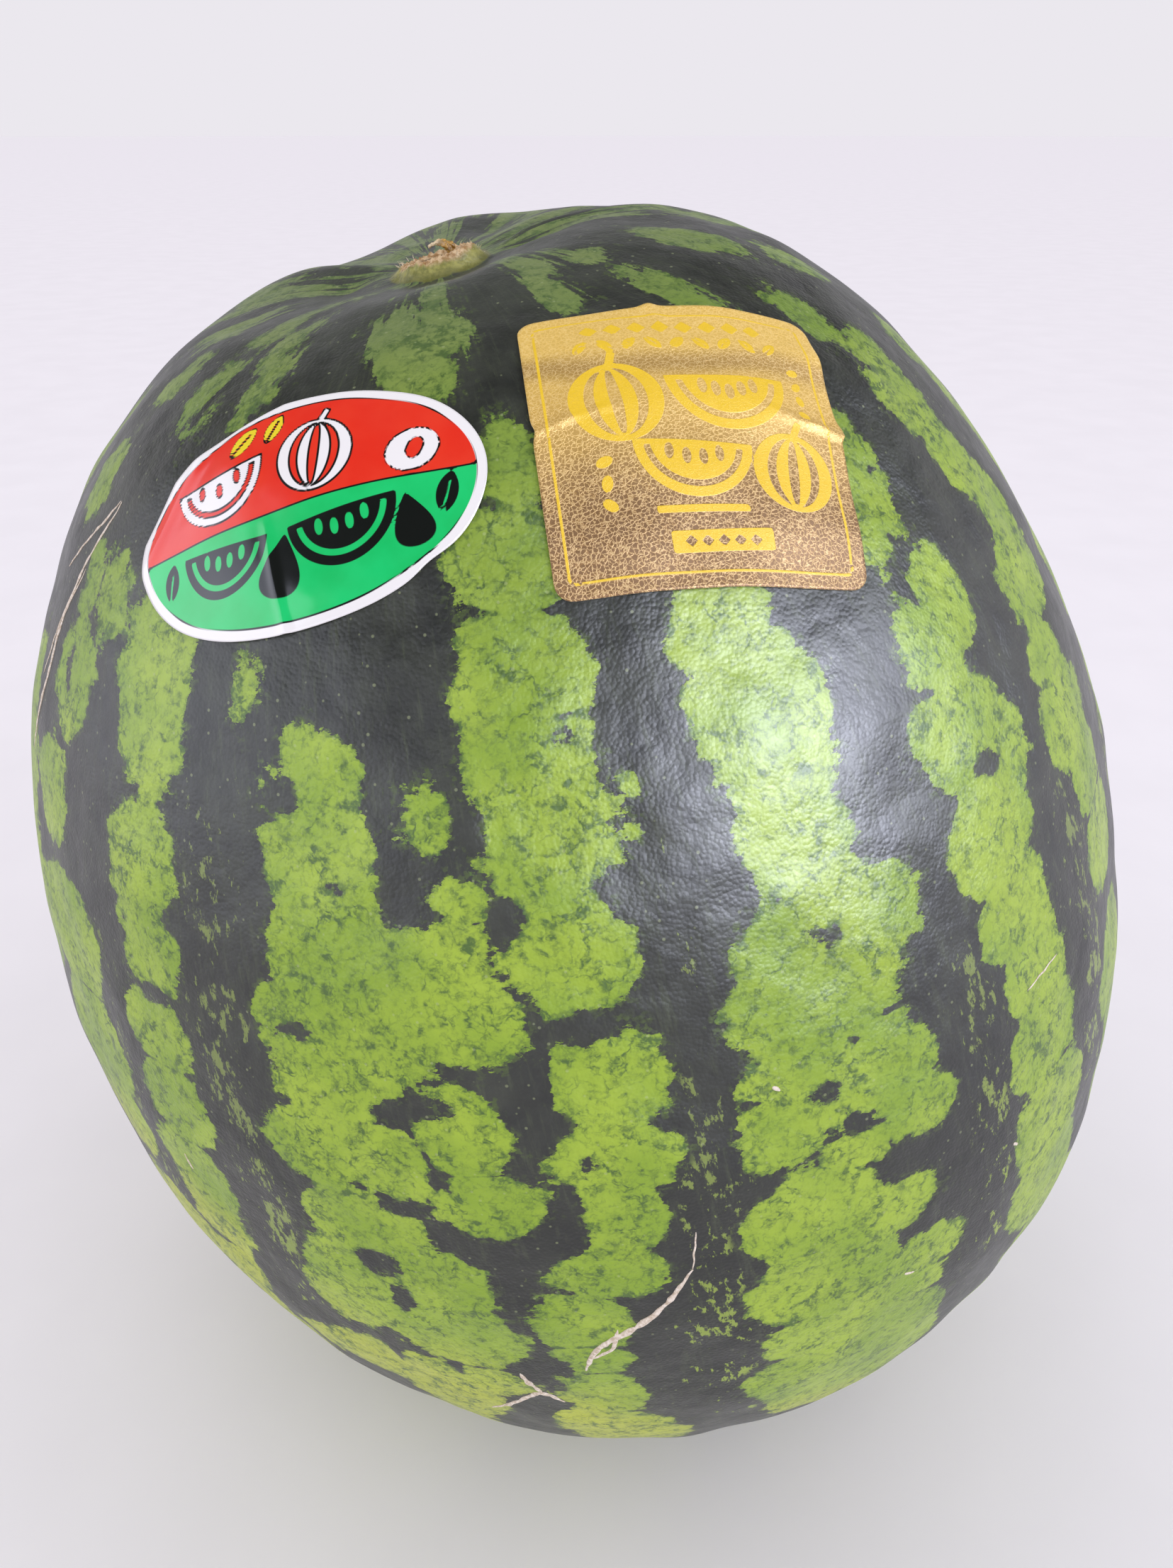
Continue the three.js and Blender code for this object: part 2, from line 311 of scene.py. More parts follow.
# Light patches of the rind as soft ellipses: azimuth, polar angle, half width and half length, in degrees.
# Each list is one stripe, from the stem down, or the left shoulder's patches.
STRIPES = {
    "left": [
        (-67, 52, 5, 9), (-53, 37, 3, 3), (-46, 37.5, 3.5, 3), (-52, 44, 5, 4.5), (-56, 54, 5, 4.5),
        (-53, 66, 8, 6), (-52, 77, 7, 6), (-51, 85, 6, 5), (-47, 96, 5, 4),
    ],
    "left_middle": [
        (-35, 42, 6, 8), (-36, 55, 5.2, 5), (-36, 62, 4.3, 4), (-37, 70, 4.5, 4.5), (-37, 77, 5, 5),
        (-38, 86, 5, 6), (-38, 93, 4, 4), (-39, 100, 4, 4),
    ],
    "front_left": [
        (-22, 42, 1.5, 1.8), (-14, 47, 4, 3), (-18, 48.5, 2.5, 2), (-15, 53, 5.5, 4.5), (-15, 59, 6, 4),
        (-16, 65, 7.5, 4.5), (-17, 70, 6, 3), (-10, 64, 4, 5), (-5, 60, 4, 2.5), (-4, 65, 4.5, 3.5),
        (-4.5, 51, 2.5, 2.3), (-2.8, 56.3, 2.2, 1.3), (-19, 76, 6, 4), (-14, 77, 4, 4), (-6.5, 74, 4, 4.5),
        (-6, 81, 4.5, 3.5), (-18, 84, 6, 4), (-17, 91, 9, 6), (-23, 95, 4.5, 4), (-13, 97, 6, 5.5),
        (-12, 105.5, 4, 2.5), (-24.5, 106, 4.5, 5),
    ],
    "front": [
        (5, 12, 5, 4), (-5, 17, 8, 4), (5, 17, 7, 4), (0, 21, 7, 4), (10, 30.5, 4, 3.5), (7, 36, 6, 4),
        (6, 43, 6.5, 4.5), (5, 48, 6, 4), (9.5, 52, 3.5, 4), (5, 54, 5, 4), (4.8, 57.5, 3, 2.5),
        (5, 62, 5, 4), (3.4, 60, 2.2, 3), (5.5, 71, 4.5, 4.5), (4.5, 77.5, 5, 3), (4, 83, 3.5, 4),
        (1.5, 89, 5, 3), (-1.5, 95, 4, 4.5), (-2, 100, 3, 3), (-2.5, 107, 3.7, 5), (-3.5, 116, 6, 6),
    ],
    "front_right": [
        (25, 44, 5, 4), (25.5, 50, 6.5, 6), (24.5, 57, 5, 5), (25, 62, 3.5, 3), (20.5, 66, 4, 4),
        (29, 65.5, 4, 3.5), (22, 70, 7.5, 4), (19.5, 75, 5, 3), (17.5, 79, 4, 3.5), (26, 77.5, 4.5, 4),
        (28, 82.5, 3.5, 2.5), (22, 83.5, 3, 2), (18, 88, 6, 4.5), (24.5, 91, 4.5, 3), (18, 96, 6.5, 5),
        (27.5, 99, 4, 3), (20.5, 103, 8.5, 5), (20, 110, 10.5, 6), (21, 117, 10, 7),
    ],
    "right_middle": [
        (33, 16, 6, 3.5), (38, 12, 7, 3.5), (53, 14, 5, 3), (51.5, 21, 4.5, 4.5), (50.5, 37, 3, 3),
        (48, 41.5, 3.5, 3), (44, 43, 3.5, 3), (48.5, 50, 4, 4), (43.5, 52, 4, 4), (43, 58, 6.5, 4),
        (47, 61, 4, 4), (42, 66.5, 5.5, 4.5), (42, 73, 5, 4), (43, 79, 4.5, 4.5), (42.5, 86, 5.3, 5),
        (43, 95, 5.7, 6), (43, 104, 6, 6), (46, 112, 5, 6),
    ],
    "right": [
        (65.5, 29.5, 4, 3.5), (68.5, 35, 3.7, 3), (65.5, 38, 5, 3.5), (66.5, 44, 4.5, 4), (68, 49, 5, 4),
        (65, 54, 6.5, 4), (60.5, 60, 4, 3), (60, 65, 6.5, 4.5), (61, 71, 5, 4), (61, 78, 6, 4.5),
        (60, 91, 6.5, 6), (76, 19, 6, 4), (85, 27, 5, 3), (85, 37.5, 4, 3.5),
    ],
    "left_shoulder": [
        (-46, 15.5, 3, 2), (-38, 16, 4, 3), (-33, 20, 4.5, 3), (-29, 21, 2, 1.5), (-34, 21.5, 4, 2.5),
        (-49, 21.5, 3, 2.5), (-43, 25, 1.8, 2), (-64, 21.5, 4, 2.5), (-64.5, 30.5, 5, 3), (-50, 13, 5, 3),
        (-76, 16, 6, 3),
    ],
}
# Small dark islands inside the light patches, given in the same way.
HOLES = [
    (8.7, 47.3, 0.7, 0.8), (11.5, 51, 0.9, 2.2), (-18.5, 48.5, 1.8, 1.1), (-14, 55, 1.2, 0.5),
    (-22, 61, 1, 1.2), (-17.5, 88.5, 1.6, 1.6), (-16.5, 93, 1.2, 1.4), (22.5, 80.8, 2.2, 1.1),
    (25.5, 86.5, 1.8, 2.2), (-10.5, 72, 3.2, 1.2), (4.5, 66.6, 3.4, 1.3), (-13.5, 81.5, 2.6, 1),
    (-53.5, 44, 1, 1.2), (-9.5, 78, 0.7, 0.9), (21, 77, 1.6, 0.7), (-35.5, 66, 4, 0.7),
    (24, 65.5, 1.2, 0.9), (2.5, 78, 0.8, 1.2), (-19, 66, 2.4, 0.6), (44, 61.5, 1.6, 0.8),
]
# Lines of light flecks down the dark stripes: azimuth, half width, first and last polar angle.
FLECK_LINES = [
    (-28, 4, 42, 104), (-45, 2.4, 56, 100), (10, 4.2, 66, 122), (13.5, 1.4, 54, 72), (35.5, 3.2, 66, 112),
    (52.5, 3, 62, 108), (-72, 3, 60, 120), (73, 3, 60, 120),
]
HIDDEN_FLECK_LINES = [(azimuth, 3.2, 40, 130) for azimuth in range(95, 265, 19)]
# Stripes that the photograph hides or shows only in part: azimuth, first and last polar angle.
GROWN_STRIPES = [
    (-100, 14, 158), (-84, 34, 158), (-67, 62, 158), (-50, 100, 158), (-38, 104, 158), (-20, 110, 158),
    (-3, 120, 158), (20, 122, 158), (44, 116, 158), (61, 98, 158), (85, 42, 158), (105, 12, 158),
    (123, 16, 158), (142, 11, 158), (161, 15, 158), (180, 10, 158), (199, 14, 158), (218, 11, 158),
    (237, 15, 158), (249, 20, 60),
]


# The stripes' distances are kept within this many mm.
FIELD_LIMIT = 14.0


def grown_patches():
    """Random patches that follow a meridian, joined into a stripe with ragged sides and a few gaps."""
    random = np.random.default_rng(7)
    patches = []
    for azimuth, first, last in GROWN_STRIPES:
        polar = first
        while polar < last:
            wide = random.uniform(3.4, 6.4)
            long = random.uniform(3.6, 8.4)
            patches.append((azimuth + random.uniform(-2.6, 2.6), polar, wide, long))
            if random.random() < 0.55:
                side = random.choice([-1, 1]) * random.uniform(3.5, 7.5)
                width, height = random.uniform(2.2, 4.2), random.uniform(1.8, 4.4)
                patches.append((azimuth + side, polar + random.uniform(-4, 4), width, height))
            polar += long * random.uniform(0.8, 1.55)
    return patches


def stripe_field(polar, azimuth):
    """How far a point is inside the light patches, and how far from a seam between two, in mm."""
    reach = 1.2
    total = np.full(polar.shape, math.exp(-FIELD_LIMIT / reach))
    deepest = np.full(polar.shape, -FIELD_LIMIT)
    second = deepest.copy()
    across_mm = np.radians(FRUIT_WIDTH / 2) * np.sin(np.radians(polar))
    along_mm = np.radians(FRUIT_LENGTH / 2)
    patches = [patch for stripe in STRIPES.values() for patch in stripe] + grown_patches()
    for a, p, wide, long in patches:
        da = turn_between(a, azimuth)
        away = np.hypot(da / wide, (polar - p) / long)
        size = np.minimum(wide * across_mm, long * along_mm)
        depth = np.clip((1 - away) * size, -FIELD_LIMIT, FIELD_LIMIT)
        total += np.exp(depth / reach)
        second = np.maximum(second, np.minimum(deepest, depth))
        deepest = np.maximum(deepest, depth)
    field = reach * np.log(total)
    for a, p, wide, long in HOLES:
        size = np.minimum(wide * across_mm, long * along_mm)
        field = np.minimum(field, (np.hypot((azimuth - a) / wide, (polar - p) / long) - 1) * size)
    return field, deepest - second


def fleck_field(polar, azimuth):
    """How near a point is to a line of flecks, from 0 to 1."""
    total = np.zeros(polar.shape)
    for a, wide, first, last in FLECK_LINES + HIDDEN_FLECK_LINES:
        da = turn_between(a, azimuth)
        ends = np.clip((polar - first) / 10, 0, 1) * np.clip((last - polar) / 10, 0, 1)
        total = np.maximum(total, ends * hump(da, 0, wide))
    return total


# ---- the fruit

MERIDIANS = 360
FINEST_RING = 0.33
COARSEST_RING = 2.0
FINE_REACH = 13


def ring_angles():
    """Polar angles of the rings: close together at the stem, 2 mm apart on the body."""
    polar = np.linspace(0, 180, 2000)
    curve = body_point(direction(polar, 90))
    walked = np.concatenate([[0], np.cumsum(np.linalg.norm(np.diff(curve, axis=0), axis=1))])
    stops = []
    at, step = 0.0, FINEST_RING
    while at + step < walked[-1] - 0.5:
        at += step
        stops.append(at)
        if at > FINE_REACH:
            step = min(step * 1.07, COARSEST_RING)
    return np.interp(stops, walked, polar), np.array(stops)


def callus_height(d, points):
    """The corky scar left by the stalk: a low cone with a crusted rim and a pit in it."""
    off_axis = np.hypot(points[..., 0], points[..., 1])
    wobble = off_axis + 0.5 * waves(points, 7, 11) * np.clip(off_axis / 4, 0, 1)
    radii = [0, PIT_FLOOR_RADIUS, 4.0, PIT_RADIUS, 6.2, CALLUS_TOP_RADIUS, 8.2, CALLUS_RADIUS, 10.6]
    floor = CALLUS_HEIGHT - PIT_DEPTH
    heights = [floor, floor, 2.0, CALLUS_HEIGHT, 2.7, 2.4, 1.5, 0.3, 0]
    cone = np.interp(wobble, radii, heights)
    tipped = 0.86 - 0.045 * points[..., 1] + 0.035 * points[..., 0]
    cone = cone * np.where(wobble < 12, tipped, 1)
    crust = 0.35 * waves(points, 1.6, 12) + 0.3 * waves(points, 0.8, 13)
    crust = hump(wobble, 6.2, 1.5) * crust
    ribs = hump(wobble, 8.4, 1.0) * 0.22 * waves(d * [60, 60, 4], 3.4, 14)
    return cone + crust + ribs


# Hollows and ridges beside the scar: azimuth, polar angle, height in mm, half width and half length.
CAVITY_FOLDS = [
    (12, 10.5, 1.9, 62, 3.4),
    (96, 7.5, -1.5, 9, 2.6), (112, 11, 1.1, 6, 6), (126, 11, -1.2, 6, 6), (142, 13, 0.9, 6, 6),
    (160, 12, -0.8, 7, 5), (-96, 7.5, -1.5, 12, 2.8), (-120, 10, 0.9, 8, 4), (-140, 10, -0.9, 8, 5),
    (180, 12, 0.7, 7, 5),
]


def rind_relief(polar, azimuth, d, points):
    """Everything that the rind does beyond the CAD's smooth body, in mm."""
    soft = 0.45 * waves(points, 46, 21) + 0.26 * waves(points, 19, 22)
    wall = hump(polar, 13, 8)
    back = 0.5 - 0.5 * np.cos(np.radians(azimuth))
    grooves = wall * (0.25 + 0.75 * back) * 1.3 * waves(d * [30, 30, 3], 9, 23)
    streaks = hump(polar, 0, 30) * 0.14 * waves(d * [60, 60, 3], 6, 24)
    for a, p, height, wide, long in CAVITY_FOLDS:
        da = turn_between(a, azimuth)
        grooves = grooves + height * hump(da, 0, wide) * hump(polar, p, long)
    blossom = -BLOSSOM_SCAR_DEPTH * hump(polar, 180, 2.3)
    fade = np.clip((polar - 4.2) / 3, 0, 1)
    return fade * (soft + grooves + streaks) + blossom


def fruit_mesh():
    polar, walked = ring_angles()
    azimuth = np.arange(MERIDIANS) * 360 / MERIDIANS - 180
    polar_grid, azimuth_grid = np.meshgrid(np.concatenate([[0], polar, [180]]), azimuth, indexing="ij")
    d = direction(polar_grid, azimuth_grid)
    smooth = body_point(d)
    lift = rind_relief(polar_grid, azimuth_grid, d, smooth) + callus_height(d, smooth) * (polar_grid < 90)
    shape = place(smooth + d * lift[..., None])
    shape[..., 2] = np.maximum(shape[..., 2], 0)
    arc = np.concatenate([[0], walked, [walked[-1] + 1]])
    meridian = np.stack(
        [
            FRUIT_WIDTH / 2 * np.sin(np.radians(azimuth_grid)),
            -FRUIT_WIDTH / 2 * np.cos(np.radians(azimuth_grid)),
            np.broadcast_to(arc[:, None], azimuth_grid.shape),
        ],
        -1,
    )
    field, seam = stripe_field(polar_grid, azimuth_grid)
    data = {
        "field": field,
        "seam": seam,
        "flecks": fleck_field(polar_grid, azimuth_grid),
        "polar": polar_grid,
        "axis_distance": np.hypot(smooth[..., 0], smooth[..., 1]),
        "meridian": meridian,
    }

    def rows(values):
        """The grid without the copies of its two end points."""
        return np.concatenate([disc_rows(values[:-1]), values[-1, :1]])

    rings, faces, uv = len(polar), [], []
    last = 1 + rings * MERIDIANS
    u = np.arange(MERIDIANS + 1) / MERIDIANS
    v = 1 - arc / arc[-1]
    for i in range(MERIDIANS):
        j = (i + 1) % MERIDIANS
        faces.append((0, 1 + i, 1 + j))
        uv += [((u[i] + u[i + 1]) / 2, v[0]), (u[i], v[1]), (u[i + 1], v[1])]
        for r in range(rings - 1):
            a, b = 1 + r * MERIDIANS, 1 + (r + 1) * MERIDIANS
            faces.append((a + i, b + i, b + j, a + j))
            uv += [(u[i], v[r + 1]), (u[i], v[r + 2]), (u[i + 1], v[r + 2]), (u[i + 1], v[r + 1])]
        a = 1 + (rings - 1) * MERIDIANS
        faces.append((a + i, last, a + j))
        uv += [(u[i], v[rings]), ((u[i] + u[i + 1]) / 2, v[rings + 1]), (u[i + 1], v[rings])]
    attributes = {key: rows(values) for key, values in data.items()}
    return make_mesh("melon_rind", rows(shape), faces, attributes, np.array(uv))


def rind_material():
    g = Graph("striped_rind")
    spot = g.place()
    meridian = g.stored("meridian", "Vector")
    streaky = g.stretch(meridian, (1, 1, 0.16))
    polar = g.stored("polar")
    field = g.stored("field")
    off_axis = g.stored("axis_distance")

    # The border of the light patches: the stored distance, scalloped like a cauliflower at two sizes, with
    # pointed teeth across the stripe and notches where two lobes meet.
    big_cells = g.warp(spot, 9, 1.6)
    across_teeth = g.stretch(meridian, (1, 1, 2.2))
    seam = g.size(g.add(g.stored("seam"), g.waver(1.5, spot, 6, 3, 0.65)))
    notch = g.times(g.between(seam, 1.5, 0.1), g.between(g.noise(spot, 13, 1), -0.9, 0.5))
    ragged = g.add(
        field,
        g.waver(0.7, spot, 11, 2),
        g.times(g.math("SUBTRACT", 0.52, g.cells(big_cells, 5.5)), 3.0),
        g.waver(1.0, across_teeth, 2.6, 4, 0.72),
        g.times(notch, -1.5),
    )
    behind = g.between(g.parts(meridian)["Y"], -60, 40)
    near_stem = g.between(polar, g.add(38, g.times(behind, 22)), 14)
    streak = g.times(g.noise(streaky, 5, 3, 0.6), near_stem, g.add(1.9, g.times(behind, 2.3)))
    edge = g.add(ragged, streak)
    light = g.between(edge, -0.13, 0.13)

    # Light rind: seams and veins between the lobes, mottling, a darker rim and yellowing underneath.
    wandering = g.warp(spot, 3, 0.7)
    long_vein = g.between(g.size(g.noise(wandering, 7.5, 4, 0.66)), 0.2, 0.0)
    fine_vein = g.between(g.size(g.noise(wandering, 2.6, 3, 0.6)), 0.34, 0.0)
    patchy = g.between(g.noise(spot, 8, 2), -0.7, 0.5)
    broken = g.between(g.noise(spot, 2.0, 3, 0.7), -0.9, 0.5)
    veins = g.math("MAXIMUM", g.times(long_vein, 0.75, patchy), g.times(notch, 0.85))
    shade = g.add(
        g.times(veins, broken, 0.9),
        g.times(fine_vein, broken, 0.4),
        g.times(g.between(edge, 1.1, 0.1), 0.24),
        g.times(g.between(g.noise(spot, 3.6, 4, 0.7), -0.1, 1.0), 0.5),
        g.waver(0.16, spot, 1.2, 3, 0.7),
    )
    green = g.mix(g.between(g.noise(spot, 17, 2), -0.7, 0.7), "#88a91c", "#a3bf2e")
    parts = g.parts(spot)
    low = g.add(parts["Z"], g.times(parts["X"], 0.35), g.waver(6, spot, 25, 2))
    green = g.mix(g.times(g.between(low, 104, 80), 0.6), green, "#cdd037")
    green = g.mix(g.times(g.between(polar, 48, 24), 0.5), green, "#67843a")
    green = g.mix(g.times(g.between(polar, 30, 12), 0.6), green, "#6f7a4b")
    green = g.mix(g.between(shade, -0.1, 1.0), green, "#48671c")

    # Dark rind: near black, mottled, with pale specks and broken flecks down the middle of the stripes, and
    # painted shade that makes it darker towards the underside.
    dark = g.mix(g.between(g.noise(spot, 9, 4, 0.65), -0.8, 0.8), "#22251e", "#373b30")
    # Painted shade: the dark rind turns darker from a polar angle of 62 to 92 degrees, towards the
    # underside.
    dark = g.mix(g.times(g.between(polar, 62, 92), 0.7), dark, "#14170f")
    grain = g.between(g.noise(streaky, 1.6, 4, 0.75), 0.0, 1.0)
    dark = g.mix(g.times(grain, 0.34), dark, "#566040")
    fleck_noise = g.add(
        g.waver(0.75, g.stretch(meridian, (1, 1, 0.5)), 1.7, 4, 0.7),
        g.waver(0.3, spot, 9, 1),
        g.times(g.stored("flecks"), 0.58),
    )
    fleck = g.times(g.between(fleck_noise, 0.66, 0.86), g.between(field, -0.6, -2.2))
    fleck_green = g.mix(g.between(polar, 70, 108), "#7f9044", "#9db53a")
    dark = g.mix(g.times(fleck, 0.85), dark, fleck_green)
    fringe = g.times(g.between(edge, -1.8, -0.1), g.between(g.noise(spot, 1.2, 2, 0.6), 0.0, 0.4))
    dark = g.mix(g.times(fringe, 0.7), dark, "#4c5f22")

    skin = g.mix(light, dark, green)
    speck = g.between(g.cells(spot, 2.6), 0.13, 0.07)
    skin = g.mix(g.times(speck, 0.3), skin, "#b4c08a")
    bloom = g.between(polar, 28, 8)
    skin = g.mix(g.times(bloom, 0.14), skin, "#8b9383")

    # The stalk's scar: green sides, a pale crust on the rim, dark in the pit.
    callus_side = g.mix(g.between(g.noise(spot, 2.0, 4, 0.7), -0.6, 0.6), "#7b7c33", "#a8a552")
    callus_side = g.mix(g.times(g.between(off_axis, 8.2, 9.6), 0.6), callus_side, "#5d602a")
    crust = g.mix(g.between(g.noise(spot, 1.1, 3, 0.7), -0.5, 0.6), "#a8804c", "#e0c498")
    callus = g.mix(g.between(off_axis, 8.0, 7.0), callus_side, crust)
    callus = g.mix(g.between(off_axis, 4.6, 3.6), callus, "#5d4a27")
    skin = g.mix(g.between(g.add(off_axis, g.waver(0.4, spot, 2, 2)), 10.4, 9.6), skin, callus)

    pebble = g.add(
        g.times(g.cells(spot, 0.65), -0.055),
        g.waver(0.042, spot, 2.6, 2, 0.6),
        g.waver(0.15, spot, 8, 1),
    )
    rough = g.add(0.4, g.waver(0.05, spot, 4, 2, 0.7), g.times(light, 0.02), g.times(bloom, 0.06))
    return g.finish(
        Base_Color=skin,
        Roughness=rough,
        Normal=g.bump(pebble),
        Specular_IOR_Level=0.5,
        Coat_Weight=0.08,
        Coat_Roughness=0.28,
    )


# ---- flat shapes, for the stickers' prints


def turned(p, centre, turn):
    """Points as seen from a shape's own middle and axes."""
    c, s = math.cos(math.radians(turn)), math.sin(math.radians(turn))
    x, y = p[..., 0] - centre[0], p[..., 1] - centre[1]
    return x * c + y * s, y * c - x * s


def oval(p, centre, radii, turn=0):
    """Signed distance to an ellipse, in mm, negative inside; near enough close to its edge."""
    x, y = turned(p, centre, turn)
    f = np.hypot(x / radii[0], y / radii[1]) + 1e-6
    slope = np.hypot(x / radii[0] ** 2, y / radii[1] ** 2) / f + 1e-6
    return (f - 1) / slope


def bar(p, centre, half, turn=0, corner=0.0):
    """Signed distance to a rectangle with rounded corners."""
    x, y = turned(p, centre, turn)
    qx, qy = np.abs(x) - half[0] + corner, np.abs(y) - half[1] + corner
    return np.hypot(np.maximum(qx, 0), np.maximum(qy, 0)) + np.minimum(np.maximum(qx, qy), 0) - corner


def joined(*shapes):
    return np.minimum.reduce(shapes)


def cut(shape, *holes):
    return np.maximum.reduce([shape] + [-hole for hole in holes])


def slice_shape(p, centre, radius, turn=0, seeds=3):
    """A melon slice: half a disc with a rind line and a row of seeds cut out of it."""
    x, y = turned(p, centre, turn)
    half = np.maximum(np.hypot(x, y) - radius, y)
    rind_line = np.maximum(np.abs(np.hypot(x, y) - radius * 0.78) - radius * 0.055, y + radius * 0.1)
    own = np.stack([x, y], -1)
    pips = []
    for s in np.linspace(-0.42, 0.42, seeds):
        middle = (s * radius, (0.3 * abs(s) - 0.34) * radius)
        pips.append(oval(own, middle, (0.075 * radius, 0.15 * radius)))
    return cut(half, rind_line, *pips)


def melon_shape(p, centre, radius, turn=0):
    """A whole round melon: a disc with three curved stripes cut out and a small stalk."""
    x, y = turned(p, centre, turn)
    own = np.stack([x, y], -1)
    disc = np.hypot(x, y) - radius
    middle = oval(own, (0, 0), (0.13 * radius, 0.84 * radius))
    sides = []
    for side in (-1, 1):
        outer = oval(own, (0, 0), (0.66 * radius, 0.88 * radius))
        inner = oval(own, (-0.16 * side * radius, 0), (0.6 * radius, 0.95 * radius))
        sides.append(np.maximum.reduce([outer, -inner, -side * x]))
    stalk = bar(own, (0.12 * radius, 1.13 * radius), (0.09 * radius, 0.2 * radius), -20, 0.05 * radius)
    return joined(cut(disc, middle, *sides), stalk)


def leaf_shape(p, centre, length, turn=0):
    """A pointed leaf with its midrib cut out."""
    x, y = turned(p, centre, turn)
    bow = 0.42 * length
    lens = np.maximum(np.hypot(x, y - bow) - bow * 1.62, np.hypot(x, y + bow) - bow * 1.62)
    rib = np.maximum(np.abs(y) - 0.035 * length, x - 0.3 * length)
    return cut(lens, rib)


def drop_shape(p, centre, size, turn=0):
    """A seed: round below, pointed above."""
    x, y = turned(p, centre, turn)
    pinch = np.clip(0.62 - 0.42 * y / size, 0.08, 1)
    return (np.hypot(x / pinch, y) - size) * 0.6


# ---- stickers

STICKER_LIFT = 0.14
STICKER_THICKNESS = 0.16
OVAL_HALF = (65 / 2, 41 / 2)
SQUARE_HALF = (51.5 / 2, 53.5 / 2)
SQUARE_CORNER = 3
# Polar angle, azimuth and turn of each sticker's middle.
OVAL_PLACE = (30.1, -17.7, 13)
SQUARE_PLACE = (32.0, 33.4, -25)


def sticker_axes(polar, azimuth, turn):
    """A sticker's middle on the rind, and its right and up directions."""
    middle = direction(polar, azimuth)
    normal = body_normal(middle)
    level = direction(90, azimuth + 90)
    level = unit(level - normal * (level @ normal))
    c, s = math.cos(math.radians(turn)), math.sin(math.radians(turn))
    right = level * c + np.cross(normal, level) * s
    return body_point(middle), right, np.cross(normal, right)


def sticker_mesh(name, axes, reach, ripple, prints, spokes=288, rings=60):
    """A thin sheet on the rind. reach gives the outline, ripple its creases, prints its inks."""
    turn = np.arange(spokes) * 2 * np.pi / spokes
    share = np.linspace(0, 1, rings + 1)
    flat = share[:, None, None] * (reach(turn)[:, None] * np.stack([np.cos(turn), np.sin(turn)], -1))[None]
    middle, right, up = axes
    d = unit(middle + flat[..., :1] * right + flat[..., 1:] * up)
    polar, azimuth = angles(d)
    smooth = body_point(d)
    base = smooth + d * rind_relief(polar, azimuth, d, smooth)[..., None]
    normal = body_normal(d)
    lift = STICKER_LIFT + ripple(flat)
    top = place(base + normal * (lift + STICKER_THICKNESS)[..., None])
    bottom = place(base + normal * lift[..., None])
    count = 1 + rings * spokes
    faces = disc_faces(rings, spokes)
    faces += [tuple(count + corner for corner in reversed(face)) for face in faces]
    rim = 1 + (rings - 1) * spokes
    for i in range(spokes):
        j = (i + 1) % spokes
        faces.append((rim + i, count + rim + i, count + rim + j, rim + j))
    points = np.concatenate([disc_rows(top), disc_rows(bottom)])
    attributes = {key: np.tile(disc_rows(values), 2) for key, values in prints(flat).items()}
    both = np.tile(disc_rows(flat), (2, 1))
    side = np.repeat([1.0, 0.0], count)
    attributes["print_place"] = np.column_stack([both, side])
    return make_mesh(name, points, faces, attributes)


def oval_reach(turn):
    """The oval's outline, pulled straight at the top left by a crease and dented at the lower right."""
    a, b = OVAL_HALF
    full = 1 / np.hypot(np.cos(turn) / a, np.sin(turn) / b)
    straight = 20.3 / np.maximum(np.cos(turn - math.radians(103)), 0.01)
    corner = 27.3 / np.maximum(np.cos(turn - math.radians(140)), 0.01)
    dent = 0.7 * hump(np.degrees(turn), 326, 7)
    return np.minimum.reduce([full, straight, corner]) - dent


def oval_ripple(flat):
    """The vinyl's creases: one fold across the lower half and a buckle behind the straight edge."""
    u, v = flat[..., 0], flat[..., 1]
    fold = 0.3 * hump(u + 0.1 * v, -5.5, 0.9) * np.clip(-v / 8, 0, 1)
    corner = u * math.cos(math.radians(140)) + v * math.sin(math.radians(140))
    buckle = 0.2 * hump(corner, 24.5, 1.6)
    edge = np.hypot(u / OVAL_HALF[0], v / OVAL_HALF[1])
    loose = 0.35 * np.clip((edge - 0.8) / 0.2, 0, 1) ** 2 * (0.5 + 0.5 * np.sin(3 * np.arctan2(v, u) + 1))
    return fold + buckle + loose


def oval_prints(flat):
    """Inks as depths inside their shapes, in mm: the coloured field, white, yellow and black."""
    border = 1.75
    edge = oval(flat, (0, 0), OVAL_HALF)
    keyline = np.abs(edge + border) - 0.17
    divider = np.maximum(np.abs(flat[..., 1]) - 0.16, edge + border)
    white = joined(
        slice_shape(flat, (-14.2, 10.6), 8.8, 4, 3),
        melon_shape(flat, (4.2, 7.9), 6.6, -8),
        cut(oval(flat, (20.6, 4.6), (4.6, 3.7), 20), oval(flat, (21.0, 4.7), (2.0, 1.3), 60)),
    )
    outline = np.abs(white) - 0.2
    yellow = joined(leaf_shape(flat, (-9.2, 14.9), 6.4, 38), leaf_shape(flat, (-3.2, 15.4), 5.6, 60))
    leaf_outline = np.abs(yellow) - 0.14
    black = joined(
        leaf_shape(flat, (-25.6, -4.6), 6.0, 72),
        slice_shape(flat, (-13.6, -2.6), 8.6, -5, 4),
        drop_shape(flat, (-3.0, -9.6), 5.2, -12),
        slice_shape(flat, (8.0, -2.8), 9.4, 4, 4),
        drop_shape(flat, (19.6, -7.4), 4.6, 10),
        leaf_shape(flat, (25.6, -4.0), 7.0, 72),
    )
    return {
        "field_ink": -(edge + border),
        "white_ink": -white,
        "yellow_ink": -yellow,
        "black_ink": -joined(keyline, divider, outline, leaf_outline, black),
    }


